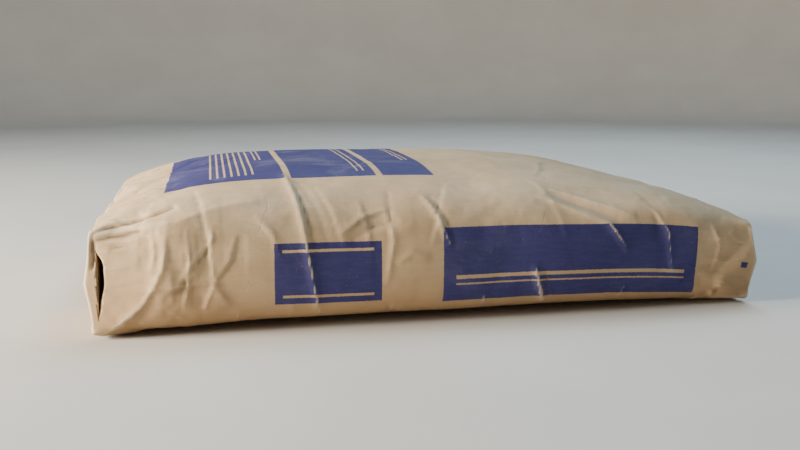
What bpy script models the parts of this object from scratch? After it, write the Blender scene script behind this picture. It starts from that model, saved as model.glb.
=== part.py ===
"""Filled paper valve sack of cement, lying on its broad side.

Metres, +Z up. The origin is on the floor under the middle of the sack. +X runs along
the sack, away from the end that has the valve. The valve's mouth is on the -Y side.
"""

import math

import bmesh
import bpy

# The filled sack, as it lies
SACK_LENGTH = 0.610  # between the rims of the two folded ends
SACK_WIDTH = 0.400  # along the rim of an end
VALVE_END_HEIGHT = 0.0955  # floor to the top rim of the end with the valve
PLAIN_END_HEIGHT = 0.0855  # floor to the top rim of the other end
CROWN_HEIGHT = 0.136  # floor to the fullest place of the cage's top
CROWN_SHIFT = 0.090  # from the middle to the fullest place, towards the valve end
SIDE_SWELL = 0.014  # how far each long side bulges past the rims
END_SWELL = 0.010  # how far each end bulges past its rim
EAR_REACH = 0.015  # how far the folded corners stand out at half height
EDGE_ROUND = 0.004  # how far the four long edges are drawn in between the ends
SHOULDER_RISE = 0.020  # how much higher the long edges are between the ends than at the rims

# The front's corner at the valve end, pushed in beyond a line that leans towards the middle
TURNED_IN = 0.012  # how far it would go in, far past the line
TURN_FOOT = 0.290  # from the middle to the line, at the floor
TURN_TOP = 0.252  # from the middle to the line, at the rim's height
TURN_REACH = 0.025  # the length past the line over which most of the turn comes

# Paper and the clearances between the pieces
WALL = 0.0004  # the plies of the sack together
PATCH_SHEET = 0.0004  # the cover sheet pasted on an end
SLEEVE_SHEET = 0.0004  # the paper of the valve sleeve
FIT_GAP = 0.0003  # between any two pieces that touch

# The cover sheets on the ends
PATCH_SIDE_MARGIN = 0.014  # from the upright edges of an end
PATCH_TOP_MARGIN = 0.010  # below the top rim
PATCH_FOOT_MARGIN = 0.010  # above the floor

# The valve sleeve, a flat tube just inside the end
SLEEVE_HEIGHT = 0.060  # the width of the flat tube, upright here
SLEEVE_LENGTH = 0.120  # from its mouth into the sack
SLEEVE_BORE = 0.0008  # between its two flat walls
SLEEVE_FOOT = 0.017  # floor to its lower edge
MOUTH_REACH = 0.002  # how far the mouth stands out past the rim

# The cage that the sack's form is smoothed from
CAGE_CELLS = (10, 6, 4)  # along the length, the width and the height
SMOOTHING_STEPS = 1
RIM_CREASE = 0.7
CROWN_POWER_LENGTH = 2.6  # higher is flatter on top, and steeper at the ends
CROWN_POWER_WIDTH = 6.0
EDGE_POWER = 4

FLAT_BELOW = 0.0015  # what the smoothing leaves lower than this lies on the floor
BEYOND = 0.05  # how far a cutter runs past what it cuts

KRAFT = (0.57, 0.40, 0.22, 1.0)
PATCH_KRAFT = (0.60, 0.43, 0.25, 1.0)
SLEEVE_KRAFT = (0.50, 0.35, 0.19, 1.0)
CEMENT_GREY = (0.36, 0.36, 0.34, 1.0)


def clear_scene():
    for obj in list(bpy.data.objects):
        bpy.data.objects.remove(obj, do_unlink=True)


def new_collection(name):
    collection = bpy.data.collections.new(name)
    bpy.context.scene.collection.children.link(collection)
    return collection


def principled(name, colour, roughness):
    material = bpy.data.materials.new(name)
    material.use_nodes = True
    shader = material.node_tree.nodes["Principled BSDF"]
    shader.inputs["Base Color"].default_value = colour
    shader.inputs["Roughness"].default_value = roughness
    shader.inputs["Metallic"].default_value = 0.0
    return material


def add_object(name, mesh, collection, material=None):
    obj = bpy.data.objects.new(name, mesh)
    collection.objects.link(obj)
    if material:
        mesh.materials.clear()
        mesh.materials.append(material)
    return obj


def as_guide(obj):
    """A guide or a cutter is drawn as wire and is no piece of the sack."""
    obj.hide_render = True
    obj.display_type = "WIRE"
    return obj


def split_cells(bm, axis, cells):
    """Cuts a box into the given number of cells along one axis."""
    along = [
        e for e in bm.edges if abs(e.verts[0].co[axis] - e.verts[1].co[axis]) > 1e-6
    ]
    bmesh.ops.subdivide_edges(bm, edges=along, cuts=cells - 1, use_grid_fill=True)


def crown_share(along, across):
    """The share of the crown's rise over the rims, from 0 at the rims to 1."""
    peak = -2 * CROWN_SHIFT / SACK_LENGTH
    reach = 1 - peak if along > peak else 1 + peak
    lengthwise = 1 - (abs(along - peak) / reach) ** CROWN_POWER_LENGTH
    return lengthwise * (1 - abs(across) ** CROWN_POWER_WIDTH)


def turn_in(x, z):
    """How far the front is pushed in at a place along it, at a height."""
    line = TURN_FOOT + (TURN_TOP - TURN_FOOT) * min(z / VALVE_END_HEIGHT, 1)
    past = max(-x - line, 0)
    return TURNED_IN * (1 - math.exp(-past / TURN_REACH))


def cage_point(along, across, up):
    """Places a point of the cage, whose three coordinates run from -1 to 1."""
    along = math.sin(along * math.pi / 2)
    across = math.sin(across * math.pi / 2)
    middle = 1 - along**2
    waist = 1 - up**2
    on_long_side = abs(across) > 1 - 1e-6
    drawn_in = EDGE_ROUND * (1 - along**EDGE_POWER) if on_long_side else 0.0

    swell = END_SWELL * (1 - across**2) * waist
    ear = EAR_REACH * (1 - abs(up)) if on_long_side else 0.0
    x = along * (SACK_LENGTH / 2 + swell + ear)

    half_width = SACK_WIDTH / 2 + SIDE_SWELL * middle * waist
    y = across * (half_width - drawn_in * up**2)

    rim = VALVE_END_HEIGHT + (PLAIN_END_HEIGHT - VALVE_END_HEIGHT) * (along + 1) / 2
    rim += SHOULDER_RISE * (1 - along**EDGE_POWER)
    top = rim + (CROWN_HEIGHT - rim) * crown_share(along, across) - drawn_in
    z = drawn_in + (top - drawn_in) * (up + 1) / 2
    if across < 0 and up > -1 + 1e-6:
        y += turn_in(x, z) * across**2
    return x, y, z


def crease_rims(bm):
    """Keeps the folded edges around the two ends sharper than the long edges."""
    crease = bm.edges.layers.float.new("crease_edge")
    for edge in bm.edges:
        ends = [v.co for v in edge.verts]
        on_an_end = all(abs(abs(c.x) - 1) < 1e-6 for c in ends)
        across = all(abs(abs(c.y) - 1) < 1e-6 for c in ends)
        level = all(abs(abs(c.z) - 1) < 1e-6 for c in ends)
        if on_an_end and (across or level):
            edge[crease] = RIM_CREASE


def make_form(collection):
    """The outer form of the filled sack: a coarse cage, smoothed and in triangles."""
    bm = bmesh.new()
    bmesh.ops.create_cube(bm, size=2.0)
    for axis, cells in enumerate(CAGE_CELLS):
        split_cells(bm, axis, cells)
    crease_rims(bm)
    for vert in bm.verts:
        vert.co = cage_point(*vert.co)
    mesh = bpy.data.meshes.new("sack_form")
    bm.to_mesh(mesh)
    bm.free()

    form = as_guide(add_object("sack_form", mesh, collection))
    smoothing = form.modifiers.new("smoothing", "SUBSURF")
    smoothing.levels = SMOOTHING_STEPS
    smoothing.render_levels = SMOOTHING_STEPS
    triangles = form.modifiers.new("triangles", "TRIANGULATE")
    triangles.quad_method = "SHORTEST_DIAGONAL"
    return form


def skin_of(form, name, offset):
    """A copy of the form's surface, pressed flat on the floor, then moved along its normals."""
    depsgraph = bpy.context.evaluated_depsgraph_get()
    mesh = bpy.data.meshes.new_from_object(form.evaluated_get(depsgraph))
    mesh.name = name
    bm = bmesh.new()
    bm.from_mesh(mesh)
    for vert in bm.verts:
        if vert.co.z < FLAT_BELOW:
            vert.co.z = 0
    bm.normal_update()
    moves = [v.normal * (offset * v.calc_shell_factor()) for v in bm.verts]
    for vert, move in zip(bm.verts, moves):
        vert.co += move
    bm.to_mesh(mesh)
    bm.free()
    mesh.shade_smooth()
    return mesh


def add_wall(obj, thickness, offset):
    """Gives an open or closed skin a wall, inwards at -1 and outwards at 1."""
    wall = obj.modifiers.new("wall", "SOLIDIFY")
    wall.thickness = thickness
    wall.offset = offset
    wall.use_even_offset = True
    wall.use_quality_normals = True


def add_boolean(obj, operation, cutter):
    cut = obj.modifiers.new(cutter.name, "BOOLEAN")
    cut.operation = operation
    cut.solver = "EXACT"
    cut.object = cutter


def make_box(name, low, high, collection):
    """A box between two corners."""
    bm = bmesh.new()
    bmesh.ops.create_cube(bm, size=1.0)
    for vert in bm.verts:
        vert.co = [a + (b - a) * (c + 0.5) for a, b, c in zip(low, high, vert.co)]
    mesh = bpy.data.meshes.new(name)
    bm.to_mesh(mesh)
    bm.free()
    return add_object(name, mesh, collection)


def sleeve_box(room):
    """The corners of the flat valve sleeve, with some room all round it."""
    outer = -SACK_LENGTH / 2 + WALL + FIT_GAP
    thickness = SLEEVE_BORE + 2 * SLEEVE_SHEET
    mouth = -SACK_WIDTH / 2 + TURNED_IN / 2 - MOUTH_REACH
    low = (outer - room, mouth - room, SLEEVE_FOOT - room)
    high = (
        outer + thickness + room,
        mouth + SLEEVE_LENGTH + room,
        SLEEVE_FOOT + SLEEVE_HEIGHT + room,
    )
    return low, high


def make_valve_slot(collection):
    """The space that the sleeve takes: a slit in the wall and a pocket in the fill."""
    low, high = sleeve_box(FIT_GAP)
    low = (low[0], low[1] - BEYOND, low[2])
    return as_guide(make_box("valve_slot", low, high, collection))


def make_paper_sack(form, slot, collection):
    paper = principled("kraft_paper", KRAFT, 0.85)
    sack = add_object("paper_sack", skin_of(form, "paper_sack", 0), collection, paper)
    add_wall(sack, WALL, -1)
    add_boolean(sack, "DIFFERENCE", slot)


def make_cement_fill(form, slot, collection):
    cement = principled("cement_powder", CEMENT_GREY, 0.95)
    skin = skin_of(form, "cement_fill", -(WALL + FIT_GAP))
    fill = add_object("cement_fill", skin, collection, cement)
    add_boolean(fill, "DIFFERENCE", slot)


def make_end_patch(form, name, side, rim_height, turned, collection, guides):
    """A cover sheet on an end, cut by its outline from a skin that wraps the sack."""
    paper = principled(name + "_paper", PATCH_KRAFT, 0.8)
    patch = add_object(name, skin_of(form, name, FIT_GAP), collection, paper)
    add_wall(patch, PATCH_SHEET, 1)
    half_width = SACK_WIDTH / 2 - PATCH_SIDE_MARGIN
    inner = side * (SACK_LENGTH / 2 - PATCH_SIDE_MARGIN)
    outer = side * (SACK_LENGTH / 2 + BEYOND)
    low = (min(inner, outer), turned - half_width, PATCH_FOOT_MARGIN)
    high = (max(inner, outer), half_width, rim_height - PATCH_TOP_MARGIN)
    outline = as_guide(make_box(name + "_outline", low, high, guides))
    add_boolean(patch, "INTERSECT", outline)


def make_valve_sleeve(collection):
    """A flat paper tube, open at its mouth and at its inner end."""
    low, high = sleeve_box(0)
    sleeve = make_box("valve_sleeve", low, high, collection)
    bm = bmesh.new()
    bm.from_mesh(sleeve.data)
    ends = [f for f in bm.faces if abs(f.normal.y) > 0.5]
    bmesh.ops.delete(bm, geom=ends, context="FACES_ONLY")
    bm.to_mesh(sleeve.data)
    bm.free()
    sleeve.data.materials.append(principled("sleeve_paper", SLEEVE_KRAFT, 0.85))
    add_wall(sleeve, SLEEVE_SHEET, -1)


def build():
    clear_scene()
    pieces = new_collection("cement_bag")
    guides = new_collection("cement_bag_guides")
    form = make_form(guides)
    slot = make_valve_slot(guides)
    make_paper_sack(form, slot, pieces)
    make_cement_fill(form, slot, pieces)
    make_end_patch(form, "valve_end_patch", -1, VALVE_END_HEIGHT, TURNED_IN, pieces, guides)
    make_end_patch(form, "plain_end_patch", 1, PLAIN_END_HEIGHT, 0, pieces, guides)
    make_valve_sleeve(pieces)


build()
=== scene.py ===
from math import cos, pi, radians, sin, sqrt

import bpy
import numpy as np
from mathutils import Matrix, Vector


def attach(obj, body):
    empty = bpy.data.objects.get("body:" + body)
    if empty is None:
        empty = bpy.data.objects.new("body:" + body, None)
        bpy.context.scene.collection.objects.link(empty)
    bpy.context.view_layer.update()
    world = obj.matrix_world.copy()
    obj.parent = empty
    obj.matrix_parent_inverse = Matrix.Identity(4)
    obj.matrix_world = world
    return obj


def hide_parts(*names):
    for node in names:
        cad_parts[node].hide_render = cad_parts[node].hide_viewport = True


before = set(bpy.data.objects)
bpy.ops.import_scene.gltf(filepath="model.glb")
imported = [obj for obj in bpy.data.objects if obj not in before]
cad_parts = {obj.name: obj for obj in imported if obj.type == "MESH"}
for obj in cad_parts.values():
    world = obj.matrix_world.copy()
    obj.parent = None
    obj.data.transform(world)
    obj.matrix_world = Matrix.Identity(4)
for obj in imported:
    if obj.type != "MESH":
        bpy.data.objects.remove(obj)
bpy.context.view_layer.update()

# The filled sack in metres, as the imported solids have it. +X runs away from the valve end.
LENGTH, WIDTH = 0.61, 0.4
VALVE_RIM, PLAIN_RIM = 0.096, 0.086
CROWN, CROWN_PLACE = 0.1325, -0.23  # the crown's height, and its place from -1 to 1 along the sack
WIDEST = 0.46  # height at which a section is widest, as a share of its top's
HALF_AT_ENDS, SIDE_SWELL, END_SWELL = 0.199, 0.011, 0.006
FOOT_POWER, TOP_POWER = (10, 5), (9, 5.7)  # of a section's two halves: at the ends, and how much less at the middle
SECTION_STEPS = 1441
RIM_REACH, RIM_FADE = 0.009, 0.02  # the ends' upright rims stand out lengthwise
CROWDING = 0.25  # share of the stations' spacing that crowds towards the ends

# The long side turns in by the valve, beyond a slanting line up from its foot.
TURNED_IN, TURN_REACH = 0.022, 0.08
TURN_HEIGHTS = (0, 0.014, 0.028, 0.044, 0.058, 0.1)
TURN_PLACES = (-0.303, -0.285, -0.267, -0.255, -0.248, -0.243)

# Folded tips of the corners: where, how they stand out, and how far that reaches.
CORNER_TIPS = (
    ((-0.305, -0.197, 0.095), (-0.004, -0.005, 0.006), 0.01),
    ((-0.305, -0.195, 0.004), (-0.003, -0.004, 0), 0.01),
    ((-0.305, 0.197, 0.095), (-0.004, 0.004, 0.004), 0.01),
    ((0.305, -0.197, 0.085), (0.003, -0.003, 0.004), 0.009),
    ((0.305, 0.197, 0.085), (0.004, 0.004, 0.005), 0.011),
    ((0.305, -0.195, 0.004), (0.003, -0.003, 0), 0.009),
)

# The flat paper that the sack is folded from: a box a little larger than the filled one.
PAPER_LENGTH, PAPER_WIDTH, PAPER_HEIGHT = 0.612, 0.406, 0.106
GIRTH = 2 * (PAPER_WIDTH + PAPER_HEIGHT)

# Cells of the simulated paper, and how much finer the finished surface is.
CELLS_WIDE, CELLS_HIGH, CELLS_LONG = 66, 17, 102
FINER = 3
FINE_CELL, SHARPEST = 0.002, 0.11  # the finished surface's cell, and the bulge per cell of its sharpest crests

WALL = SHEET = 0.0004
GAP = 0.0003
FAR = 9.0  # farther than any distance on the sack


def smooth(value, low, high):
    """An even S curve from 0 at low to 1 at high."""
    share = np.clip((value - low) / (high - low), 0, 1)
    return share * share * (3 - 2 * share)


# The sack's own form

def crown_line(t):
    """Height of the top along the sack: from each rim it rises as 1 - s^3, s from 0 at the crown to 1 at the end."""
    s = np.where(t > CROWN_PLACE, (t - CROWN_PLACE) / (1 - CROWN_PLACE), (t - CROWN_PLACE) / (1 + CROWN_PLACE))
    rim = VALVE_RIM + (PLAIN_RIM - VALVE_RIM) * (t + 1) / 2
    return rim + (CROWN - rim) * (1 - np.abs(s) ** 3)


def stations(k):
    """Places along the sack from -1 to 1, closer together near the ends."""
    t = np.linspace(-1, 1, CELLS_LONG * k + 1)
    return (1 - CROWDING) * t + CROWDING * np.sin(t * pi / 2)


def tube_size(k):
    """Rings along the tube's grid and points round each, with cells k times finer."""
    return CELLS_LONG * k + 1, 2 * (CELLS_WIDE + CELLS_HIGH) * k


def ring_corners(k):
    """Ring indices of the four long edges: front foot, front top, back top, back foot."""
    half, wide, high = CELLS_WIDE * k // 2, CELLS_WIDE * k, CELLS_HIGH * k
    return half, half + high, half + high + wide, half + 2 * high + wide


def box_ring(k):
    """The flat paper's section in y and z, from the middle of the underside towards the front."""
    side, top, around = PAPER_WIDTH / 2, PAPER_HEIGHT, tube_size(k)[1]
    edges = (0, *ring_corners(k), around)
    places = ((0, -side, -side, side, side, 0), (0, 0, top, top, 0, 0))
    return np.stack([np.interp(np.arange(around), edges, place) for place in places], -1)


def ring_share(k):
    """Each ring point's share of the girth, from 0 at the middle of the underside."""
    ring = box_ring(k)
    steps = np.linalg.norm(np.diff(np.vstack([ring, ring[:1]]), axis=0), axis=1)
    return np.concatenate([[0], np.cumsum(steps)[:-1]]) / steps.sum()


def filled_tube(k):
    """The filled tube: rings of two half superellipses that meet at the widest height, nearly square at the ends and
    round at the middle. Near the ends the sides stand out lengthwise, most at half height, as exp(-distance from the
    end / fade)."""
    t = stations(k)[:, None]
    turn = np.linspace(0, 2 * pi, SECTION_STEPS)
    middle = 1 - t ** 4
    top = crown_line(t)
    widest = WIDEST * top
    half = HALF_AT_ENDS + SIDE_SWELL * (1 - t ** 2)
    low = np.cos(turn) > 0
    power = np.where(low, FOOT_POWER[0] - FOOT_POWER[1] * middle, TOP_POWER[0] - TOP_POWER[1] * middle)
    y = -half * (np.sign(np.sin(turn)) * np.abs(np.sin(turn)) ** (2 / power))
    rise = np.abs(np.cos(turn)) ** (2 / power)
    z = np.where(low, widest - widest * rise, widest + (top - widest) * rise)
    run = np.cumsum(np.hypot(np.diff(y, axis=1), np.diff(z, axis=1)), axis=1)
    run = np.hstack([np.zeros_like(run[:, :1]), run])
    share = ring_share(k)
    y, z = (np.array([np.interp(share * r[-1], r, c) for r, c in zip(run, curve)]) for curve in (y, z))
    at_side = smooth(np.abs(y) / half, 0.93, 1.0)
    rim = RIM_REACH * at_side * (1 - np.abs(2 * z / top - 1)) * np.exp(-(1 - np.abs(t)) * LENGTH / 2 / RIM_FADE)
    return np.stack([t * LENGTH / 2 + np.sign(t) * rim, y, z], -1)


def end_borders(k):
    """Ring indices along the foot, top, front and back of an end's grid."""
    wide, around = CELLS_WIDE * k, tube_size(k)[1]
    front_foot, front_top, back_top, back_foot = ring_corners(k)
    return (np.arange(front_foot, front_foot - wide - 1, -1) % around, np.arange(front_top, back_top + 1),
            np.arange(front_foot, front_top + 1), np.arange(back_foot, back_top - 1, -1))


def fill_end(ring, k):
    """The sheet that the four sides of an end span: the blend of opposite sides, less the blend of the corners."""
    foot, top, front, back = (ring[i] for i in end_borders(k))
    u = np.linspace(0, 1, len(foot))[:, None]
    v = np.linspace(0, 1, len(front))[:, None, None]
    return ((1 - v) * foot + v * top + (1 - u) * front[:, None] + u * back[:, None]
            - ((1 - u) * (1 - v) * foot[0] + u * (1 - v) * foot[-1] + (1 - u) * v * top[0] + u * v * top[-1]))


def filled_end(ring, side, k):
    """An end of the filled sack: its sides' sheet, swelled by (1 - u^2)(1 - v^2), its upright rims standing out."""
    grid = fill_end(ring, k)
    u = np.linspace(-1, 1, grid.shape[1])
    v = np.linspace(-1, 1, grid.shape[0])[:, None]
    rim = RIM_REACH * (1 - np.abs(v)) * np.exp((np.abs(u) - 1) * WIDTH / 2 / RIM_FADE)
    grid[..., 0] = side * (LENGTH / 2 + END_SWELL * (1 - u ** 2) * (1 - v ** 2) + rim)
    return grid


def joined(tube, ends):
    """The tube's grid and the inner points of the two ends' grids as one closed list of points."""
    return np.vstack([grid.reshape(-1, grid.shape[-1]) for grid in (tube, *(end[1:-1, 1:-1] for end in ends))])


def parted(points, k):
    """The tube's grid and the two ends' grids out of the closed list of points."""
    high, wide = CELLS_HIGH * k, CELLS_WIDE * k
    rows, around = tube_size(k)
    tube = points[:rows * around].reshape(rows, around, -1)
    rest = points[rows * around:].reshape(2, high - 1, wide - 1, -1)
    ends = []
    for side in (0, 1):
        grid = np.empty((high + 1, wide + 1, points.shape[-1]), points.dtype)
        grid[1:-1, 1:-1] = rest[side]
        grid[0], grid[-1], grid[:, 0], grid[:, -1] = (tube[-side][border] for border in end_borders(k))
        ends.append(grid)
    return tube, ends


def quads(grid):
    """The four corners of each cell of a grid of point numbers or places."""
    return np.stack([grid[:-1, :-1], grid[:-1, 1:], grid[1:, 1:], grid[1:, :-1]], 2).reshape(-1, 4, *grid.shape[2:])


def ring_quads(grid):
    """The same for a tube's grid, whose last column joins its first."""
    return quads(np.hstack([grid, grid[:, :1]]))


def turned(faces):
    """The faces' corners the other way round."""
    return faces[:, [0, 3, 2, 1]]


def joined_faces(k):
    """The four-sided faces of the closed list of points, facing outwards."""
    rows, around = tube_size(k)
    count = rows * around + 2 * (CELLS_HIGH * k - 1) * (CELLS_WIDE * k - 1)
    tube, (valve_end, plain_end) = parted(np.arange(count)[:, None], k)
    return np.vstack([turned(ring_quads(tube[..., 0])), quads(valve_end[..., 0])[:, ::-1], quads(plain_end[..., 0])])


def past_turn(points):
    """How far each point lies past the line at which the long side turns in."""
    return np.maximum(np.interp(points[:, 2], TURN_HEIGHTS, TURN_PLACES) - points[:, 0], 0)


def turned_corner(points):
    """The long side turned in by 1 - exp(-d / reach), d the distance past the line, and the corners' tips drawn out."""
    y, z = points.T[1:]
    turn = TURNED_IN * (1 - np.exp(-past_turn(points) / TURN_REACH)) * smooth(-y, 0.08, 0.19) * smooth(z, 0.0, 0.012)
    moved = points.copy()
    moved[:, 1] += turn
    for corner, way, reach in CORNER_TIPS:
        near = np.exp(-(np.linalg.norm(points - corner, axis=1) / reach) ** 1.3)
        moved = moved + near[:, None] * way
    return moved


def filled_sack(k):
    """The whole closed form of the filled sack."""
    tube = filled_tube(k)
    return turned_corner(joined(tube, [filled_end(tube[0], -1, k), filled_end(tube[-1], 1, k)]))


def flat_paper():
    """The coarse points on the flat paper's box, which the paper would like to return to."""
    x = np.broadcast_to((stations(1) * PAPER_LENGTH / 2)[:, None, None], (*tube_size(1), 1))
    tube = np.concatenate([x, np.broadcast_to(box_ring(1), (*tube_size(1), 2))], -1)
    return joined(tube, [fill_end(tube[0], 1), fill_end(tube[-1], 1)])


def read_finer(field, axis, closed):
    """Cubic curves through the values along one axis, read FINER times as closely."""
    field = np.moveaxis(field, axis, 0)
    before, after = 2 * field[:1] - field[1:2], 2 * field[-1:] - field[-2:-1]
    if closed:
        before, after = field[-1:], field[:2]
    padded = np.concatenate([before, field, after])
    spans = len(padded) - 3
    between = []
    for f in np.arange(FINER) / FINER:
        weights = ((-f + 2 * f ** 2 - f ** 3) / 2, (2 - 5 * f ** 2 + 3 * f ** 3) / 2,
                   (f + 4 * f ** 2 - 3 * f ** 3) / 2, (f ** 3 - f ** 2) / 2)
        between.append(sum(w * padded[j:j + spans] for j, w in enumerate(weights)))
    finer = np.stack(between, 1).reshape(-1, *field.shape[1:])
    if not closed:
        finer = np.concatenate([finer, field[-1:]])
    return np.moveaxis(finer, 0, axis)


def finer_moves(moves):
    """The simulated moves of the coarse points, read on the finer points."""
    tube, ends = parted(moves, 1)
    tube = read_finer(read_finer(tube, 0, False), 1, True)
    return joined(tube, [read_finer(read_finer(end, 0, False), 1, False) for end in ends])


# Meshes and simulation

def add_piece(name, points, faces):
    """A new object, with a smooth mesh of the same name."""
    mesh = bpy.data.meshes.new(name)
    mesh.from_pydata(points.reshape(-1, 3).tolist(), [], faces)
    mesh.update()
    mesh.shade_smooth()
    obj = bpy.data.objects.new(name, mesh)
    bpy.context.scene.collection.objects.link(obj)
    return obj


def finished_mesh(obj):
    """The piece's mesh as its modifiers leave it."""
    return bpy.data.meshes.new_from_object(obj.evaluated_get(bpy.context.evaluated_depsgraph_get()))


def mesh_normals(points, faces):
    """Each point's normal: the sum of its faces' crossed diagonals, at length 1."""
    corners = points[faces]
    crossed = np.cross(corners[:, 2] - corners[:, 0], corners[:, 3] - corners[:, 1])
    total = np.stack([np.bincount(faces.ravel(), np.repeat(crossed[:, i], 4), len(points)) for i in range(3)], -1)
    return total / np.linalg.norm(total, axis=1)[:, None]


def neighbour_mean(values, faces):
    """The mean of each point's neighbours along the faces' sides."""
    if values.ndim > 1:
        return np.stack([neighbour_mean(column, faces) for column in values.T], -1)
    pairs = np.vstack([faces[:, side] for side in ([0, 1], [1, 2], [2, 3], [3, 0])])
    pairs = np.vstack([pairs, pairs[:, ::-1]])
    return np.bincount(pairs[:, 0], values[pairs[:, 1]], len(values)) / np.bincount(pairs[:, 0], minlength=len(values))


def waves(points, seed, count, shortest, longest):
    """Sine waves of random length and direction, added up to a spread of about 1."""
    rng = np.random.default_rng(seed)
    total = np.zeros(len(points))
    for _ in range(count):
        way = rng.normal(size=3)
        way /= np.linalg.norm(way)
        length = shortest * (longest / shortest) ** rng.uniform()
        total += np.sin(points @ way * 2 * pi / length + rng.uniform(0, 2 * pi))
    return total / sqrt(count / 2)


FLOOR_SKIN = 0.0015  # points below this height lie on the floor and stay there
HOLD = 0.1  # how firmly the rest of the paper keeps to the filled form
UNEVEN = 0.0006  # how far the paper waves before it moves
SIM_FRAMES = 20
MOST_MOVE = 0.014
CLOTH = {
    "quality": 5, "mass": 0.3, "tension_stiffness": 40, "compression_stiffness": 40, "shear_stiffness": 15,
    "bending_stiffness": 0.1, "tension_damping": 5, "compression_damping": 5, "shear_damping": 5,
    "bending_damping": 0.5, "air_damping": 2, "use_pressure": True, "uniform_pressure_force": 0.8,
    "vertex_group_mass": "held", "pin_stiffness": 1, "shrink_min": -0.012,
}


def simulate(points, faces):
    """Lets the paper, a little too large for its filling, wrinkle under pressure, and gives each point's move."""
    uneven = UNEVEN * waves(points, 3, 40, 0.03, 0.12) * smooth(points[:, 2], 0, 0.01)
    obj = add_piece("loose_paper", points + mesh_normals(points, faces) * uneven[:, None], faces.tolist())
    obj.shape_key_add(name="filled")
    paper = obj.shape_key_add(name="flat_paper")
    paper.data.foreach_set("co", flat_paper().astype(np.float32).ravel())
    paper.value = 0
    held = obj.vertex_groups.new(name="held")
    for firmness, some in ((HOLD, points[:, 2] >= FLOOR_SKIN), (1.0, points[:, 2] < FLOOR_SKIN)):
        held.add(np.nonzero(some)[0].tolist(), firmness, "REPLACE")
    cloth = obj.modifiers.new("cloth", "CLOTH")
    for name, value in CLOTH.items():
        setattr(cloth.settings, name, value)
    cloth.settings.effector_weights.gravity = 0
    cloth.settings.rest_shape_key = paper
    cloth.collision_settings.use_collision = False
    cloth.point_cache.frame_start, cloth.point_cache.frame_end = 1, SIM_FRAMES
    for number in range(1, SIM_FRAMES + 1):
        bpy.context.scene.frame_set(number)
    result = finished_mesh(obj)
    settled = np.empty(points.size, np.float32)
    result.vertices.foreach_get("co", settled)
    bpy.data.objects.remove(obj)
    bpy.data.meshes.remove(result)
    bpy.context.scene.frame_set(1)
    moves = settled.reshape(-1, 3).astype(float) - points
    size = np.linalg.norm(moves, axis=1)
    return moves * (np.minimum(size, MOST_MOVE) / np.maximum(size, 1e-9))[:, None]


CALM_ROUNDS = 40


def calmed(moves, points, faces):
    """Where the filling draws the paper tight, the short buckles go and the swell stays: the neighbours' mean, taken
    many times over, plus a share of the rest that grows with the slackness."""
    swell = moves
    for _ in range(CALM_ROUNDS):
        swell = 0.3 * swell + 0.7 * neighbour_mean(swell, faces)
    share = (0.05 + 0.75 * smooth(np.abs(points[:, 0]), 0.19, 0.3)) * (1 - 0.8 * smooth_facet(points))
    return swell + (moves - swell) * share[:, None]


# Relief: folds and dents of the paper

LATTICE = 16  # cells after which the jitter repeats
STEP_START, STEP_FADE = 0.0015, 0.006  # how soon a fold's step is reached, and how far it fades


def cell_dents(points, size, seed):
    """Bowls that meet in sharp ridges: the squared distance, in cells, to the nearest place of a jittered lattice."""
    jitter = np.random.default_rng(seed).uniform(0, 1, (LATTICE, LATTICE, LATTICE, 3))
    place = points / size + 40
    cell = np.floor(place).astype(int)
    nearest = np.full(len(points), FAR)
    for step in np.ndindex(3, 3, 3):
        near = cell + np.array(step) - 1
        spot = near + jitter[tuple((near % LATTICE).T)]
        nearest = np.minimum(nearest, ((place - spot) ** 2).sum(1))
    return nearest - 0.3


def add_fold(relief, places, fold):
    """Adds a fold to the relief of places along and up the paper: height x exp(-distance / width) from a broken line,
    faded out towards its ends. A step lowers the line's right-hand side, and fades as exp(-distance / (2 widths +
    fade))."""
    height, width, step, *line = fold
    width = width / 1000
    line = np.reshape(line, (-1, 2)) / 1000
    lengths = np.linalg.norm(np.diff(line, axis=0), axis=1)
    starts = np.concatenate([[0], np.cumsum(lengths)])
    reach = 5 * width
    near = np.nonzero(((places > line.min(0) - reach) & (places < line.max(0) + reach)).all(-1))[0]
    best = np.full(len(near), FAR)
    side, along = np.zeros((2, len(near)))
    for p, q, length, start in zip(line[:-1], line[1:], lengths, starts):
        way = (q - p) / length
        offset = places[near] - p
        run = np.clip(offset @ way, 0, length)
        distance = np.hypot(*(offset - run[:, None] * way).T)
        closer = distance < best
        best = np.where(closer, distance, best)
        side = np.where(closer, way[0] * offset[:, 1] - way[1] * offset[:, 0], side)
        along = np.where(closer, (start + run) / starts[-1], along)
    profile = height * np.exp(-best / width)
    profile -= step * (side < 0) * (1 - np.exp(-best / STEP_START)) * np.exp(-best / (2 * width + STEP_FADE))
    np.add.at(relief, near, profile * np.sqrt(np.clip(4 * along * (1 - along), 0, 1)) / 1000)


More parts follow.
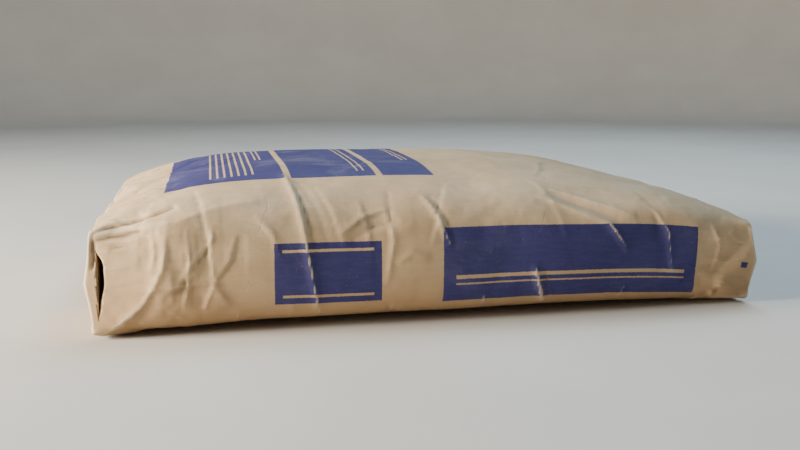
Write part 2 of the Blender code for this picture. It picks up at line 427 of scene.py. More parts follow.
# Folds of the paper: height, width, step, then the line's points along it and up from the front foot, in mm.
SIDE_FOLDS = (
    # the long side that faces the camera
    (-3.9, 1.7, 4.6, -304, 98, -292, 105, -276, 109, -256, 113, -236, 122),
    (-3.2, 1.3, 0, -300, 66, -301, 80, -303, 97),
    (-1.2, 2, 1.2, -268, 124, -266, 116, -262, 108),
    (-2.7, 1.5, 2.6, -304, 90, -288, 94, -268, 96, -250, 93),
    (1.8, 7, 0, -272, 104, -262, 101, -236, 99, -205, 110, -165, 118),
    (-1.3, 1.6, 0.6, -289, 84, -276, 82, -264, 78),
    (0.5, 1.6, 0, -296, 66, -282, 64, -268, 66),
    (0.4, 1.6, 0, -298, 50, -284, 49, -268, 52),
    (1, 2.4, 1.2, -303, 2, -285, 14, -267, 28, -255, 44, -248, 58, -244, 78),
    (0.9, 1.7, 1.3, -228, 92, -226, 66, -228, 42, -232, 22),
    (0.9, 2, 1.5, -207, 90, -209, 66, -206, 42),
    (0.8, 1.8, -1.2, -206, 42, -200, 32, -192, 20),
    (0.8, 1.8, 1.2, -206, 42, -210, 32, -216, 18),
    (0.8, 1.6, -1.3, -214, 56, -236, 42, -252, 30),
    (0.8, 1.6, 1.2, -236, 42, -224, 60, -204, 84),
    (0.7, 1.7, 1.1, -206, 42, -192, 62, -186, 84),
    (0.5, 1.8, 0.7, -286, 43, -245, 41, -206, 43, -160, 42),
    (0.8, 1.8, 1.2, -257, 94, -254, 76, -257, 58),
    (0.7, 1.6, -1, -232, 92, -228, 74, -232, 56),
    (1.9, 3.6, 0.6, -142, 190, -137, 150, -132, 104, -126, 62, -116, 3),
    (-1.2, 3, 0, -134, 150, -128, 108, -121, 70),
    (1, 2.4, 0, -170, 100, -156, 84, -150, 60),
    (1, 2.6, 0.9, -56, 104, -51, 74, -57, 34),
    (1, 2.8, 0.9, -98, 80, -76, 97, -50, 106),
    (-1, 3, 0, -90, 74, -66, 88, -44, 92),
    (0.9, 3, 0, -48, 52, -34, 62, -18, 56),
    (1.1, 2.2, 0.8, -20, 122, -9, 94, 1, 66),
    (-1, 2.8, 0, -13, 122, -2, 94, 8, 66),
    (1.9, 3.4, 1.2, 82, 46, 86, 28, 93, 4),
    (-1.2, 3, 0, 92, 40, 97, 24, 103, 6),
    (1.6, 4.4, 1.4, 92, 116, 125, 97, 156, 84, 176, 56),
    (1.4, 3.4, 1, 108, 128, 142, 109, 184, 90),
    (-1.5, 5, 0, 102, 121, 132, 103, 168, 87),
    (1, 2.8, 0.9, 198, 108, 216, 76, 222, 36),
    (1, 2.2, 0.8, 260, 94, 271, 66, 264, 38),
    (1.1, 2.4, 0, 300, 60, 280, 50, 254, 53),
    (1, 2.4, 0, 288, 88, 276, 76, 258, 72),
    (0.9, 2.4, 0, 292, 20, 276, 30, 256, 30),
    # the top's far part and the long side at the back, whose foot is at 618
    (1.5, 2.2, -0.9, -262, 468, -240, 520, -214, 572),
    (1.2, 2, 0.9, -214, 572, -206, 594, -204, 612),
    (1.2, 2, -0.9, -286, 520, -262, 548, -226, 560),
    (-1, 2, 0.8, -300, 524, -286, 520, -270, 519, -250, 522),
    (1.7, 2.6, 0.5, -128, 440, -122, 500, -112, 556, -106, 612),
    (-1, 2.4, 0.9, -120, 470, -114, 520, -104, 570),
    (1.1, 2, -0.9, -92, 508, -72, 548, -64, 590),
    (1.2, 2, 0.9, -44, 496, -20, 540, -2, 572),
    (0.9, 1.8, -0.9, -12, 556, 14, 562, 40, 556),
    (1.4, 2.4, 0.9, 40, 470, 58, 524, 66, 590),
    (1.1, 2, -0.9, 98, 506, 112, 548, 136, 590),
    (1.3, 2.2, 0.9, 168, 500, 158, 545, 162, 604),
    (1.2, 2, -0.9, 214, 512, 232, 556, 262, 584),
    (1.2, 2, 0.9, 298, 548, 270, 560, 240, 564),
    (1, 1.8, -0.9, 294, 600, 276, 582, 262, 560),
    (-1.1, 2, 1, 300, 516, 284, 514, 262, 508, 246, 500),
    (1, 3.2, 0.9, -236, 300, -200, 340, -150, 362),
    (0.9, 3, -0.9, 60, 300, 128, 322, 196, 318),
    (1, 2.8, 0.9, 150, 420, 196, 400, 258, 402),
    (0.9, 2.8, -0.9, 140, 200, 200, 232, 262, 238),
)

# The same across and up an end: the triangles of its block bottom, the overlap along its middle and short crumples.
END_FOLDS = (
    (1.4, 2.2, 0.7, -196, 88, -172, 64, -150, 46), (1.3, 2.2, 0.6, -196, 6, -174, 27, -150, 46),
    (1.4, 2.2, 0.7, 196, 86, 172, 62, 150, 44), (1.3, 2.2, 0.6, 196, 6, 174, 26, 150, 44),
    (0.9, 2.6, 0.5, -160, 50, -60, 52, 40, 50, 160, 51),
    (1.6, 1.9, 0.3, -108, 93, -106, 50, -107, 3), (-1.3, 1.8, 0, -16, 92, -14, 46, -16, 2),
    (1.3, 1.8, 0, 68, 92, 70, 60, 72, 24), (1.4, 1.8, 0.4, 116, 93, 114, 50, 117, 5),
    (1, 1.8, 0, -158, 91, -160, 66, -156, 40), (1, 1.7, 0, -192, 36, -172, 32, -146, 38),
    (-0.9, 1.6, 0, -190, 22, -168, 23, -150, 15), (1, 1.7, 0, 152, 90, 156, 62, 153, 34),
    (1, 1.7, 0, 190, 40, 170, 34, 146, 37), (-1, 1.7, 0, -62, 91, -60, 70, -66, 44),
)


def random_fold(rng, heights, widths, steps, line):
    """A fold along a line, in or out, with a height and width between the given ones and one of the steps."""
    return (rng.choice([-1, 1]) * rng.uniform(*heights), rng.uniform(*widths),
            rng.choice(steps) if steps else 0.0, *line)


def corner_folds(seed):
    """Short folds that run in from both ends' rims and upright edges, on every side."""
    rng = np.random.default_rng(seed)
    for side in np.repeat((-1, 1), 40):
        g = rng.uniform(-190, 800)
        run = rng.uniform(16, 80) * (1.3 if 120 < g < 500 else 0.8)
        start = 303 - abs(rng.normal(0, 6))
        drift = rng.normal(0, 0.28) * run
        bend = rng.normal(0, 3)
        line = [(side * (start - run * f), g + drift * f + bend * sin(pi * f)) for f in (0, 0.35, 0.7, 1)]
        yield random_fold(rng, (0.4, 1.0), (1.4, 2.8), (-0.7, 0, 0.7), line)


def long_edge_folds(seed):
    """Short dents across the long edges, and a few long soft folds over the top and the back."""
    rng = np.random.default_rng(seed)
    for edge, count, size in ((0, 18, 9), (106, 9, 34), (512, 12, 34), (618, 18, 9)):
        for _ in range(count):
            a = rng.uniform(-285, 285)
            run = rng.uniform(0.6, 1.6) * size
            tilt = rng.normal(0, 0.22)
            shift = rng.normal(0, 6)
            line = [(a + tilt * run * f, edge + shift + run * f) for f in (-1, -0.3, 0.3, 1)]
            yield random_fold(rng, (0.35, 0.8), (1.4, 2.6), (-0.6, 0, 0.6), line)
    for _ in range(12):
        a, g = rng.uniform(-240, 240), rng.uniform(150, 600)
        way = rng.uniform(0, pi)
        run = rng.uniform(30, 90)
        line = [(a + run * f * cos(way), g + run * f * sin(way) + 8 * sin(3 * f)) for f in (-1, -0.4, 0.3, 1)]
        yield random_fold(rng, (0.3, 0.6), (1.6, 3), (-0.9, 0.9), line)


def end_folds(seed):
    """An end's own folds, and more short crumples."""
    yield from END_FOLDS
    rng = np.random.default_rng(seed)
    for _ in range(34):
        y, z = rng.uniform(-190, 190), rng.uniform(6, 88)
        way = rng.normal(pi / 2, 0.6)
        run = rng.uniform(6, 20)
        line = [(y + run * f * cos(way), z + run * f * sin(way)) for f in (-1, 0, 1)]
        yield random_fold(rng, (0.3, 0.9), (2, 4), None, line)


def smooth_facet(points):
    """1 on the flat part of the long side past its turn by the valve, and 0 elsewhere."""
    y, z = points.T[1:]
    return (smooth(past_turn(points), 0.003, 0.012) * smooth(-y, 0.165, 0.182)
            * smooth(z, 0.008, 0.018) * smooth(z, 0.096, 0.084))


def slackness(points):
    """How loose the paper is: near 1 at the ends, less along the upper edges, little where it is drawn tight."""
    x, y, z = points.T
    ends = smooth(np.abs(x), 0.17, 0.3)
    shoulders = 0.55 * smooth(np.abs(y), 0.13, 0.19) * smooth(z, 0.05, 0.1)
    return np.maximum(np.maximum(ends, shoulders), 0.22)


def sack_relief(points):
    """How far each fine point stands in or out: dents of three sizes, by slackness, and folds on tube and ends."""
    slack = slackness(points)
    warp = np.stack([waves(points, seed, 12, 0.06, 0.2) for seed in (21, 22, 23)], -1) * 0.006
    warped = points + warp
    relief = slack * (0.0013 * cell_dents(warped, 0.046, 5) + 0.0006 * cell_dents(warped, 0.021, 6))
    relief += 0.00022 * (0.15 + slack) * cell_dents(warped, 0.01, 7)
    relief *= 1 - 0.75 * smooth_facet(points)

    rows, around = tube_size(FINER)
    on_tube = rows * around
    along = np.repeat(stations(FINER) * LENGTH / 2, around)
    share = ring_share(FINER)
    places = np.stack([along, np.tile((share - share[ring_corners(FINER)[0]]) * GIRTH, rows)], -1)
    tube = np.zeros(on_tube)
    for fold in (*corner_folds(11), *long_edge_folds(12)):
        add_fold(tube, places, fold)
    tube *= 1 - 0.8 * smooth_facet(points[:on_tube])
    for fold in SIDE_FOLDS:
        add_fold(tube, places, fold)
    relief[:on_tube] += tube * smooth(LENGTH / 2 - np.abs(along), 0, 0.004)

    for place, part, rim, seed in zip(points[on_tube:].reshape(2, -1, 3), relief[on_tube:].reshape(2, -1),
                                      (VALVE_RIM, PLAIN_RIM), (13, 14)):
        y, z = place.T[1:]
        end = np.zeros(len(y))
        for fold in end_folds(seed):
            add_fold(end, place[:, 1:], fold)
        from_rim = np.minimum(WIDTH / 2 - np.abs(y), np.minimum(z, rim - z))
        part += end * smooth(from_rim, 0, 0.005)
    return relief * smooth(points[:, 2], 0.0005, 0.006)


def crests_and_troughs(points, faces):
    """How sharply each point stands above or below its neighbours, from 0 to 1."""
    normals = mesh_normals(points, faces)
    bulge = ((points - neighbour_mean(points, faces)) * normals).sum(1) / FINE_CELL
    for _ in range(2):
        bulge = 0.5 * bulge + 0.5 * neighbour_mean(bulge, faces)
    return np.clip(bulge / SHARPEST, 0, 1), np.clip(-bulge / SHARPEST, 0, 1)


def set_values(obj, **values):
    """Writes numbers on a piece's points."""
    for name, numbers in values.items():
        obj.data.attributes.new(name, "FLOAT", "POINT").data.foreach_set("value", np.asarray(numbers, np.float32))


def set_map(obj, corners):
    """Writes where each face corner lies on the flat paper, in metres."""
    layer = obj.data.uv_layers.new(name="paper")
    layer.uv.foreach_set("vector", np.asarray(corners, np.float32).ravel())


def tube_map():
    """Where the tube's face corners lie: along from the valve end, and up the girth from the front foot."""
    share = ring_share(FINER)
    u = (stations(FINER) + 1) * LENGTH / 2
    v = (np.append(share, 1.0) - share[ring_corners(FINER)[0]]) * GIRTH
    return turned(quads(np.stack(np.broadcast_arrays(u[:, None], v), -1)))


def depth_below(coarse, normals, fine):
    """How far each coarse point's tangent plane has to sink to lie below the fine points around it."""
    k = FINER

    def lowest(grid, normal, close, sides):
        """The least height of the close points within one cell, along each point's normal."""
        close = np.pad(np.pad(close, ((k, k), (0, 0), (0, 0)), "edge"), ((0, 0), (k, k), (0, 0)), sides)
        rows, columns = ((size - 1) * k + 1 for size in grid.shape[:2])
        return np.min([((close[i:i + rows:k, j:j + columns:k] - grid) * normal).sum(-1, keepdims=True)
                       for i, j in np.ndindex(2 * k + 1, 2 * k + 1)], 0)

    tubes, ends = zip(parted(coarse, 1), parted(normals, 1), parted(fine, k))
    return joined(lowest(*tubes, "wrap"), [lowest(*end, "edge") for end in zip(*ends)])


# Shader expressions

def maths(operation):
    """A method that adds a Math node of a Shade and the values after it."""
    return lambda self, *others: self.finish.node("ShaderNodeMath", {"operation": operation},
                                                  dict(enumerate((self, *others))))


class Shade:
    """A socket of a material's node tree, so that shader maths reads as Python expressions."""

    def __init__(self, finish, socket):
        self.finish, self.socket = finish, socket

    __add__, __sub__, __mul__, __abs__ = maths("ADD"), maths("SUBTRACT"), maths("MULTIPLY"), maths("ABSOLUTE")
    __radd__, __rmul__ = __add__, __mul__
    least, most, fraction = maths("MINIMUM"), maths("MAXIMUM"), maths("FRACT")

    def __neg__(self):
        return self * -1.0

    def __rsub__(self, other):
        return -self + other

    def rises(self, low, high):
        """0 below low, 1 above high, and an even curve between; the other way round where high is below low."""
        return self.finish.node("ShaderNodeMapRange", {"interpolation_type": "SMOOTHSTEP"},
                                {"Value": self, "From Min": low, "From Max": high})


class Finish:
    """A material being made, with its one surface shader."""

    def __init__(self, name, **constants):
        self.material = bpy.data.materials.new(name)
        self.material.use_nodes = True
        self.tree = self.material.node_tree
        self.shader = self.tree.nodes["Principled BSDF"]
        self.feed(**constants)
        self.place = self.node("ShaderNodeTexCoord", output="Object")

    def put(self, socket, value):
        """Links a Shade to a socket, or sets the socket to a plain value."""
        if isinstance(value, Shade):
            self.tree.links.new(value.socket, socket)
        else:
            socket.default_value = value

    def feed(self, **inputs):
        """Puts values or links on the shader's own sockets."""
        for socket, value in inputs.items():
            self.put(self.shader.inputs[socket.replace("_", " ")], value)
        return self.material

    def node(self, kind, settings=None, inputs=None, output=0):
        """Adds a node: its settings first, a ramp's stops among them, then the values or links of its sockets."""
        node = self.tree.nodes.new(kind)
        for name, value in (settings or {}).items():
            if name == "stops":
                for _ in value[2:]:
                    node.color_ramp.elements.new(0.5)
                for element, (position, colour) in zip(node.color_ramp.elements, value):
                    element.position, element.color = position, colour
            else:
                setattr(node, name, value)
        for name, value in (inputs or {}).items():
            self.put(node.inputs[name], value)
        return Shade(self, node.outputs[output])

    def vector(self, operation, first, second):
        """A Vector Math node on two vectors."""
        return self.node("ShaderNodeVectorMath", {"operation": operation}, {0: first, 1: second})

    def noise(self, scale, detail=3.0, roughness=0.55, vector=None, distortion=0.0):
        """Cloudy noise, by default over the piece's own metres."""
        inputs = {"Vector": vector or self.place, "Scale": scale, "Detail": detail,
                  "Roughness": roughness, "Distortion": distortion}
        return self.node("ShaderNodeTexNoise", {}, inputs)

    def fibres(self, along, across, detail, roughness):
        """Noise drawn out along the sack."""
        return self.noise(1.0, detail, roughness, self.vector("MULTIPLY", self.place, (along, across, across)))

    def crackle(self, scale, vector):
        """Distance from the borders between the cells of a jittered lattice."""
        return self.node("ShaderNodeTexVoronoi", {"feature": "DISTANCE_TO_EDGE"},
                         {"Vector": vector, "Scale": scale}, "Distance")

    def value(self, name):
        """A number written on the piece's own points."""
        return self.node("ShaderNodeAttribute", {"attribute_name": name}, output="Fac")

    def split(self, vector):
        """A vector's three numbers."""
        separate = self.node("ShaderNodeSeparateXYZ", {}, {0: vector}).socket.node
        return [Shade(self, number) for number in separate.outputs]

    def blend(self, share, first, second):
        """The first colour, and the second over it by its share."""
        return self.node("ShaderNodeMix", {"data_type": "RGBA"}, {"Factor": share, 6: first, 7: second}, 2)

    def ramp(self, share, *stops):
        """A colour read between stops of place and colour."""
        return self.node("ShaderNodeValToRGB", {"stops": stops}, {0: share})

    def bump(self, height, distance, strength=1.0):
        """A normal tilted by a height, in units of the distance."""
        return self.node("ShaderNodeBump", {}, {"Height": height, "Distance": distance, "Strength": strength})


def rgb(red, green, blue):
    """A colour as seen on a screen, from 0 to 255, as the shader's own numbers."""
    linear = [c / 3294.6 if c <= 10 else ((c / 255 + 0.055) / 1.055) ** 2.4 for c in (red, green, blue)]
    return (*linear, 1.0)


KRAFT_DARK, KRAFT_MID, KRAFT_PALE = rgb(172, 140, 103), rgb(200, 170, 131), rgb(221, 197, 164)
# A darker kraft laid over the lower part of the sack: painted shade.
KRAFT_PAINTED_SHADE = rgb(156, 119, 80)
FIBRE_DARK, FIBRE_PALE = rgb(140, 104, 70), rgb(236, 218, 188)
# The pale kraft lightens the crests as wear and as a painted highlight. The dark brown darkens the folds' troughs as
# painted shade, and the foot as soil and painted shade.
SCUFFED_AND_HIGHLIT, SOIL_AND_SHADE_BROWN = rgb(232, 212, 182), rgb(118, 95, 74)
INK_DEEP, INK_WORN = rgb(36, 40, 98), rgb(60, 62, 120)
CEMENT_DUST = rgb(190, 188, 180)
POWDER_DARK, POWDER_MID, POWDER_PALE = rgb(118, 118, 113), rgb(146, 146, 140), rgb(170, 169, 162)
FLOOR_DARK, FLOOR_PALE = rgb(203, 198, 189), rgb(210, 205, 196)


def panel(u, v, left, foot, right, top):
    """Distance outside an upright rectangle of the flat paper, and below zero inside it."""
    return (abs(u - (left + right) / 2) - (right - left) / 2).most(abs(v - (foot + top) / 2) - (top - foot) / 2)


def ruled(u, v, left, foot, right, top, pitch, thickness, upright):
    """Distance outside a row of thin rules that fill a rectangle, one at the middle of each pitch."""
    place = u - left if upright else v - foot
    share = (place * (1 / pitch)).fraction()
    return (abs(share - 0.5) * pitch - thickness / 2).most(panel(u, v, left, foot, right, top))


def printed(u, v, layers):
    """Distance outside a print that is laid down in layers, ink and bare paper in turn."""
    distance = panel(u, v, *layers[0][0])
    for number, layer in enumerate(layers):
        for box in layer:
            outside = panel(u, v, *box) if len(box) == 4 else ruled(u, v, *box)
            distance = distance.most(-outside) if number % 2 else distance.least(outside)
    return distance


def ink_cover(paper, layers, crest, rubbing):
    """How much ink covers the paper: the print with a bled edge, thin in specks and worn off at the crests."""
    u, v = paper.split(paper.node("ShaderNodeUVMap", {"uv_map": "paper"}))[:2]
    bleed = (paper.noise(420, 2, 0.6) - 0.5) * 0.0011
    inked = (printed(u, v, layers) + bleed).rises(0.0003, -0.0003)
    thin = paper.noise(260, 3, 0.75).rises(0.63, 0.8) * 0.25
    worn = (crest + (rubbing - 0.5) * 0.9).rises(0.45, 0.95) * 0.6
    return inked * (1 - thin) * (1 - worn)


def paper_height(paper, cloud, dust_grains):
    """Fibres along the sack, sparse fine creases, a slow undulation, and grains of dust."""
    swirl = paper.node("ShaderNodeTexNoise", {}, {"Scale": 26, "Vector": paper.place}, "Color")
    warped = paper.vector("ADD", paper.place, paper.vector("MULTIPLY", swirl, (0.012, 0.012, 0.012)))
    sparse = paper.noise(19, 3, 0.6).rises(0.5, 0.66)
    creases = (paper.crackle(58, warped).rises(0, 0.08) * sparse * 0.1
               + paper.crackle(150, warped).rises(0, 0.14) * 0.025)
    undulation = paper.noise(90, 4, 0.6) * 0.1
    fibres = paper.fibres(300, 900, 3, 0.65) * 0.03
    return fibres + creases * (0.35 + 0.65 * cloud) + undulation + dust_grains * 0.05


def kraft_paper(name, layers=(), dusty=0.5, with_values=True):
    """Cloudy brown with fibres along the sack, pale on worn crests with a painted highlight there, painted shade in the
    folds and over the lower part, soil and painted shade at the foot, a little cement dust, and ink that has worn off
    at the crests."""
    paper = Finish(name, Roughness=0.8, Specular_IOR_Level=0.28)
    cloud = paper.noise(7, 4, 0.6).rises(0.3, 0.72)
    streaks = paper.fibres(60, 420, 3, 0.6).rises(0.38, 0.66)
    flecks = paper.fibres(520, 1500, 2, 0.7)
    blotch = paper.noise(38, 4, 0.62, distortion=0.4).rises(0.35, 0.7)
    tone = 0.31 + 0.2 * cloud + 0.05 * streaks + 0.14 * blotch
    colour = paper.ramp(tone, (0.12, KRAFT_DARK), (0.5, KRAFT_MID), (0.9, KRAFT_PALE))
    colour = paper.blend(flecks.rises(0.64, 0.76) * 0.35, colour, FIBRE_DARK)
    colour = paper.blend(flecks.rises(0.36, 0.26) * 0.3, colour, FIBRE_PALE)
    height = paper.split(paper.place)[2]
    # Painted shade: darker, browner kraft over the lower 78 mm, most at the floor.
    colour = paper.blend(height.rises(0.078, 0.004) * (0.5 + 0.2 * blotch), colour, KRAFT_PAINTED_SHADE)
    roughness = 0.8 - 0.08 * streaks

    if with_values:
        crest, trough = paper.value("crest"), paper.value("trough")
        rubbing = paper.noise(140, 4, 0.7)
    if layers:
        cover = ink_cover(paper, layers, crest, rubbing)
        screen = paper.noise(11, 3, 0.6).rises(0.3, 0.75)
        ink = paper.blend(screen * 0.4 + streaks * 0.2, INK_DEEP, INK_WORN)
        colour = paper.blend(cover * 0.96, colour, ink)
        roughness = roughness - cover * 0.07
    if with_values:
        # Pale on the crests: wear, and a painted highlight along them.
        rubbed_and_highlit = (crest * 1.1 + (rubbing - 0.5) * 0.8).rises(0.3, 0.95)
        colour = paper.blend(rubbed_and_highlit * 0.38, colour, SCUFFED_AND_HIGHLIT)
        # Painted shade: darker brown in the troughs of the folds.
        colour = paper.blend(trough.rises(0.12, 0.8) * 0.62, colour, SOIL_AND_SHADE_BROWN)

    # Soil and painted shade: darker brown in patches at the foot, up to 22 mm high.
    foot = height.rises(0.022, 0) * paper.noise(24, 4, 0.65).rises(0.35, 0.62)
    colour = paper.blend(foot * 0.35, colour, SOIL_AND_SHADE_BROWN)
    upward = paper.split(paper.node("ShaderNodeNewGeometry", output="Normal"))[2]
    drift = paper.noise(17, 5, 0.68, distortion=0.8).rises(0.5, 0.72)
    dust = drift * (0.25 + 0.75 * upward.rises(0.1, 0.9)) * dusty
    grains = paper.noise(700, 2, 0.6).rises(0.4, 0.62)
    colour = paper.blend(dust * (0.35 + 0.65 * grains) * 0.45, colour, CEMENT_DUST)
    normal = paper.bump(paper_height(paper, cloud, grains * dust), 0.001, 0.9)
    return paper.feed(Base_Color=colour, Roughness=roughness + dust * 0.12, Normal=normal)


def cement_powder():
    """Grey powder in clumps and grains."""
    powder = Finish("cement_powder", Roughness=0.95, Specular_IOR_Level=0.2)
    clumps = powder.noise(60, 5, 0.65)
    grains = powder.noise(900, 3, 0.7)
    colour = powder.ramp(0.6 * clumps + 0.4 * grains, (0.3, POWDER_DARK), (0.5, POWDER_MID), (0.72, POWDER_PALE))
    return powder.feed(Base_Color=colour, Normal=powder.bump(clumps * 0.7 + grains * 0.25, 0.001))


def pale_floor():
    """A plain floor, faintly cloudy and finely rough."""
    floor = Finish("pale_floor", Roughness=0.75, Specular_IOR_Level=0.25)
    colour = floor.blend(floor.noise(3, 4, 0.6).rises(0.3, 0.7), FLOOR_DARK, FLOOR_PALE)
    return floor.feed(Base_Color=colour, Normal=floor.bump(floor.noise(220, 3, 0.6), 0.0002, 0.5))


# The sack's surfaces

INNER_DEPTH = WALL + 0.0002  # of the sack's inner wall below the lowest relief near it


def kept_above(height, points):
    """The points, with none below a height."""
    return np.column_stack([points[:, :2], np.maximum(points[:, 2], height)])


coarse = filled_sack(1)
coarse_faces = joined_faces(1)
moves = calmed(simulate(coarse, coarse_faces), coarse, coarse_faces)
smooth_sack = filled_sack(FINER)
fine = kept_above(0, smooth_sack + finer_moves(moves))
fine_faces = joined_faces(FINER)
fine_normals = mesh_normals(fine, fine_faces)
dressed = kept_above(0, fine + fine_normals * sack_relief(smooth_sack)[:, None])
crests, troughs = crests_and_troughs(dressed, fine_faces)

coarse = kept_above(0, coarse + moves)
coarse_normals = mesh_normals(coarse, coarse_faces)
low = depth_below(coarse, coarse_normals, dressed)
inner_wall, powder_skin = (kept_above(depth, coarse + coarse_normals * (low - depth))
                           for depth in (INNER_DEPTH, INNER_DEPTH + GAP))
inner_end = parted(inner_wall, 1)[1][0]


# The valve sleeve: a flat tube behind the end's wall, whose mouth opens at the corner.
SLEEVE_DEEP, SLEEVE_HIGH, SLEEVE_MIDDLE = 0.12, 0.06, 0.047
SLEEVE_BORE, SLEEVE_BEHIND, SLEEVE_PLANE = 0.0008, 0.0008, -0.3051
MOUTH_OPEN, MOUTH_REACH, MOUTH_DEEP = 0.0042, 0.0035, 0.02
CUTTER_REACH = 0.02  # how far the slot's cutter stands out at the corner
MOUTH_RINGS, DEEP_RINGS, SLEEVE_STEPS = 14, 22, 21
SLEEVE_GRID = MOUTH_RINGS + DEEP_RINGS - 1, 2 * SLEEVE_STEPS - 2


def behind_end(s, height):
    """The end's inner wall at a depth s from the front corner and a height, read between its grid's points."""
    rows, columns = inner_end.shape[0] - 1, inner_end.shape[1] - 1
    v = np.clip(height / VALVE_RIM, 0, 1) * rows
    u = np.clip(s / WIDTH, 0, 1) * columns
    i, j = np.minimum(v.astype(int), rows - 1), np.minimum(u.astype(int), columns - 1)
    fv, fu = (v - i)[..., None], (u - j)[..., None]
    point = ((1 - fv) * (1 - fu) * inner_end[i, j] + (1 - fv) * fu * inner_end[i, j + 1]
             + fv * (1 - fu) * inner_end[i + 1, j] + fv * fu * inner_end[i + 1, j + 1])
    point[..., 1] += np.minimum(s, 0)
    return point


def sleeve_tube(room, mouth, deep):
    """Rings of a flat tube along the end's wall: the outer side follows it, and the inner side stands off by the
    bore, plus an opening of (1 - w^2)(1 + 0.85 w) at the mouth, w from -1 to 1 up the tube."""
    s = np.concatenate([np.linspace(mouth, MOUTH_DEEP, MOUTH_RINGS),
                        np.linspace(MOUTH_DEEP, deep, DEEP_RINGS)[1:]])[:, None]
    w = np.linspace(-1, 1, SLEEVE_STEPS)
    w = np.concatenate([w, w[-2:0:-1]])
    inner = np.arange(w.size) >= SLEEVE_STEPS
    height = SLEEVE_MIDDLE + w * (SLEEVE_HIGH / 2 + room)
    ring = behind_end(*np.broadcast_arrays(s, height))
    ring[..., 2] = height
    ring[..., 0] = np.maximum(ring[..., 0], SLEEVE_PLANE)
    gape = (MOUTH_OPEN * (1 - smooth(s, 0.0, 0.035)) * (1 - w ** 2) * (1 + 0.85 * w)
            + 0.0004 * np.sin(9 * w + 2) * (1 - w ** 2))
    tips = 1 - np.abs(w) ** 9
    ring[..., 0] += SLEEVE_BEHIND + SHEET - room + inner * tips * (SLEEVE_BORE + 2 * SHEET + 2 * room + gape)
    ring[..., 1] += (0.0006 * np.sin(5 * w + 1) + 0.0004 * np.sin(13 * w)) * (1 - smooth(s, mouth, 0.0))
    return ring


def tube_faces(rows, around, capped=False):
    """The faces of a tube's grid, and caps on its two ends where asked."""
    grid = np.arange(rows * around).reshape(rows, around)
    return ring_quads(grid).tolist() + ([grid[0, ::-1].tolist(), grid[-1].tolist()] if capped else [])


def cut_out(obj, cutter):
    """Takes the cutter's shape out of the piece for good."""
    cut = obj.modifiers.new("slot", "BOOLEAN")
    cut.operation, cut.solver, cut.object = "DIFFERENCE", "MANIFOLD", cutter
    result = finished_mesh(obj)
    obj.modifiers.clear()
    result.name = obj.data.name
    obj.data = result
    result.shade_smooth()


def add_wall(obj, offset):
    """Gives a sheet its thickness, outwards at 1 and inwards at -1."""
    wall = obj.modifiers.new("wall", "SOLIDIFY")
    wall.thickness, wall.offset = SHEET, offset


def hand_in(obj, material, node):
    """Gives a piece its finish, its body and the node that it replaces."""
    obj.data.materials.clear()  # a cut leaves an empty slot
    obj.data.materials.append(material)
    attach(obj, "root")
    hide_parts(node)


sleeve = add_piece("sleeve_with_open_mouth", sleeve_tube(0, -MOUTH_REACH, SLEEVE_DEEP), tube_faces(*SLEEVE_GRID))
add_wall(sleeve, -1)
hand_in(sleeve, kraft_paper("sleeve_paper", dusty=1.0, with_values=False), "valve_sleeve")

slot_cutter = add_piece("slot_cutter", sleeve_tube(GAP, -CUTTER_REACH, SLEEVE_DEEP + GAP),
                        tube_faces(*SLEEVE_GRID, True))

# The print, in layers of ink and bare paper in turn: boxes of left, foot, right and top on the flat paper in metres.
# A box filled with rules also has their pitch, their thickness and whether they stand upright.
SACK_PRINT = (
    (
        (0.15, 0.018, 0.244, 0.074), (0.3, 0.014, 0.552, 0.084),
        (0.058, 0.166, 0.166, 0.446), (0.172, 0.166, 0.252, 0.446), (0.258, 0.166, 0.308, 0.446),
        (0.058, 0.534, 0.31, 0.604), (0.366, 0.544, 0.46, 0.6),
        (0.5975, 0.046, 0.6035, 0.052),
    ),
    (
        (0.157, 0.024, 0.237, 0.0265), (0.157, 0.0655, 0.237, 0.068),
        (0.312, 0.036, 0.54, 0.0395), (0.312, 0.0305, 0.54, 0.032),
        (0.07, 0.578, 0.298, 0.5815), (0.07, 0.586, 0.298, 0.5875),
        (0.373, 0.5915, 0.453, 0.594), (0.373, 0.55, 0.453, 0.5525),
        (0.096, 0.186, 0.1415, 0.426, 0.0065, 0.0019, True),
        (0.1435, 0.3, 0.1535, 0.426, 0.005, 0.0017, True),
        (0.234, 0.186, 0.246, 0.426, 0.006, 0.0016, True),
        (0.292, 0.25, 0.302, 0.426, 0.005, 0.0016, True),
    ),
)
COVER_PRINT = (
    ((0.034, 0.03, 0.176, 0.064), (0.034, 0.014, 0.176, 0.023), (0.2, 0.014, 0.272, 0.064),
     (0.294, 0.014, 0.338, 0.064)),
    ((0.042, 0.0385, 0.168, 0.0405), (0.296, 0.016, 0.336, 0.062), (0.206, 0.0205, 0.266, 0.022)),
    ((0.301, 0.019, 0.331, 0.059, 0.0057, 0.0013, False),),
)

# The sack: its wrinkled outside, and inside it the smoother wall that the powder fills.
sack = add_piece("dressed_paper_sack", np.vstack([dressed, inner_wall]),
                 np.vstack([fine_faces, coarse_faces[:, ::-1] + len(dressed)]).tolist())
set_values(sack, crest=np.pad(crests, (0, len(inner_wall))), trough=np.pad(troughs, (0, len(inner_wall))))
on_tube = tube_map()
off_print = np.full((len(fine_faces) + len(coarse_faces) - len(on_tube), 4, 2), -1.0)
set_map(sack, np.concatenate([on_tube, off_print]))
cut_out(sack, slot_cutter)
hand_in(sack, kraft_paper("kraft_paper", SACK_PRINT), "paper_sack")

fill = add_piece("cement_powder_fill", powder_skin, coarse_faces.tolist())
cut_out(fill, slot_cutter)
hand_in(fill, cement_powder(), "cement_fill")
bpy.data.objects.remove(slot_cutter)


# The cover sheets, pasted over the ends' folds: their margins inside the rims, and their width.
COVER_FOOT, COVER_SIDE, COVER_TOP = 0.01, 0.014, 0.01
COVER_WIDE = 0.372
COVER_LIFT = 0.0011  # the most that a free edge stands off


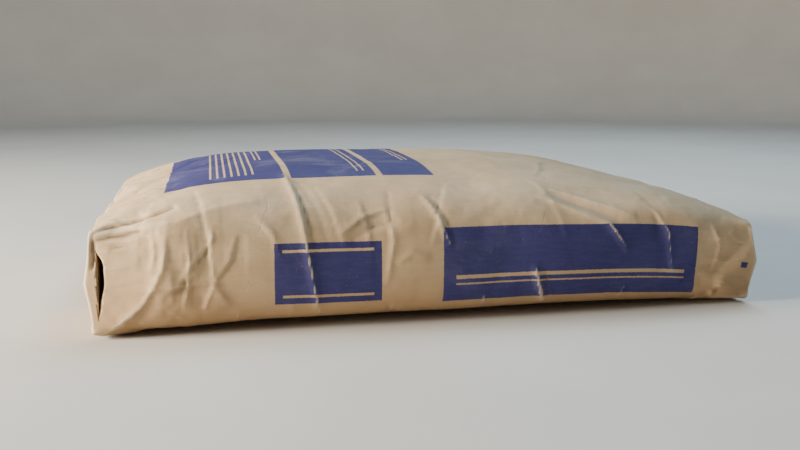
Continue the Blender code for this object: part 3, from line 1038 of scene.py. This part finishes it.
def cover_sheet(name, side, seed):
    """A rectangle of the end's own grid moved out by the gap, its free edges lifted a little here and there, and its
    map measured across from the left and up from its foot."""
    rim = (VALVE_RIM, PLAIN_RIM)[side]
    high = rim - COVER_FOOT - COVER_TOP
    values = np.column_stack([dressed, fine_normals, crests, troughs])
    grid = parted(values, FINER)[1][side]
    rows, columns = grid.shape[0] - 1, grid.shape[1] - 1
    margin = round(COVER_SIDE / WIDTH * columns)
    grid = grid[round(COVER_FOOT / rim * rows):round((rim - COVER_TOP) / rim * rows) + 1, margin:columns - margin + 1]
    points, out, crest, trough = np.split(grid, (3, 6, 7), -1)
    v, u = np.meshgrid(*(np.linspace(0, 1, size) for size in grid.shape[:2]), indexing="ij")
    from_edge = np.minimum(np.minimum(u, 1 - u) * COVER_WIDE, np.minimum(v, 1 - v) * high)
    loose = smooth(waves(points.reshape(-1, 3), seed, 10, 0.05, 0.2).reshape(u.shape), 0.2, 1.6)
    lift = GAP + 0.0001 + COVER_LIFT * loose * smooth(from_edge, 0.008, 0.0)
    faces = quads(np.arange(u.size).reshape(u.shape))
    if not side:
        faces = faces[:, ::-1]
    sheet = add_piece(name, points + out * lift[..., None], faces.tolist())
    place = np.stack([u if side else 1 - u, v], -1) * (COVER_WIDE, high)
    set_map(sheet, place.reshape(-1, 2)[faces])
    rubbed_edge = smooth(from_edge, 0.0025, 0.0) * 0.6
    set_values(sheet, crest=np.clip(crest[..., 0] + rubbed_edge, 0, 1).ravel(), trough=trough.ravel())
    add_wall(sheet, 1)
    return sheet


cover_paper = kraft_paper("cover_sheet", COVER_PRINT, dusty=0.3)
hand_in(cover_sheet("valve_end_cover_sheet", 0, 31), cover_paper, "valve_end_patch")
hand_in(cover_sheet("plain_end_cover_sheet", 1, 32), cover_paper, "plain_end_patch")


# Floor, light and camera

FLOOR_RADIUS, FLOOR_BEND, FLOOR_STEPS = 3.0, 1.2, 144
WORLD_COLOUR, WORLD_STRENGTH = (0.86, 0.89, 0.93, 1.0), 0.045
VIEW_SIDE, VIEW_RISE, VIEW_DISTANCE = radians(-12), radians(10), 1.0
VIEW_TARGET, LIGHT_TARGET = Vector((0, 0, 0.055)), Vector((0, 0, 0.05))


def floor_sheet():
    """A flat disc whose rim curves up all round as a quarter circle."""
    turn = np.linspace(0, 2 * pi, FLOOR_STEPS, endpoint=False)
    run = np.concatenate([[0.05], np.linspace(0.25, FLOOR_RADIUS, 12),
                          FLOOR_RADIUS + np.linspace(0.1, FLOOR_BEND * pi / 2, 24)])[:, None]
    bend = np.maximum(run - FLOOR_RADIUS, 0) / FLOOR_BEND
    radius = np.minimum(run, FLOOR_RADIUS) + FLOOR_BEND * np.sin(bend)
    z = FLOOR_BEND * (1 - np.cos(bend)) - 0.0002
    points = np.stack(np.broadcast_arrays(radius * np.cos(turn), radius * np.sin(turn), z), -1)
    faces = [face[::-1] for face in tube_faces(len(run), FLOOR_STEPS)] + [list(range(FLOOR_STEPS))]
    obj = add_piece("floor", points, faces)
    obj.data.materials.append(pale_floor())


def aim(obj, place, target):
    """Puts a light or camera at a place, looking at a target."""
    obj.location = place
    obj.rotation_euler = (target - Vector(place)).to_track_quat("-Z", "Y").to_euler()
    bpy.context.scene.collection.objects.link(obj)


def soft_light(name, place, size, power, colour):
    """A square lamp that faces the sack."""
    light = bpy.data.lights.new(name, "AREA")
    light.size, light.energy, light.color = size, power, colour
    aim(bpy.data.objects.new(name, light), place, LIGHT_TARGET)


floor_sheet()
soft_light("key", (-2.13, -0.27, 0.5), 0.7, 200, (1.0, 0.91, 0.78))
soft_light("sky", (0.85, 0.85, 2.2), 1.6, 60, (0.62, 0.82, 1.0))
soft_light("front", (0.5, -1.3, 2.75), 2.2, 12, (0.46, 0.71, 1.0))

world = bpy.data.worlds.new("pale_room")
world.use_nodes = True
background = world.node_tree.nodes["Background"].inputs
background["Color"].default_value, background["Strength"].default_value = WORLD_COLOUR, WORLD_STRENGTH
bpy.context.scene.world = world

lens = bpy.data.cameras.new("photo_view")
lens.lens = 40
lens.clip_start = 0.01
camera = bpy.data.objects.new("photo_view", lens)
way = Vector((sin(VIEW_SIDE) * cos(VIEW_RISE), -cos(VIEW_SIDE) * cos(VIEW_RISE), sin(VIEW_RISE)))
aim(camera, VIEW_TARGET + VIEW_DISTANCE * way, VIEW_TARGET)
bpy.context.scene.camera = camera
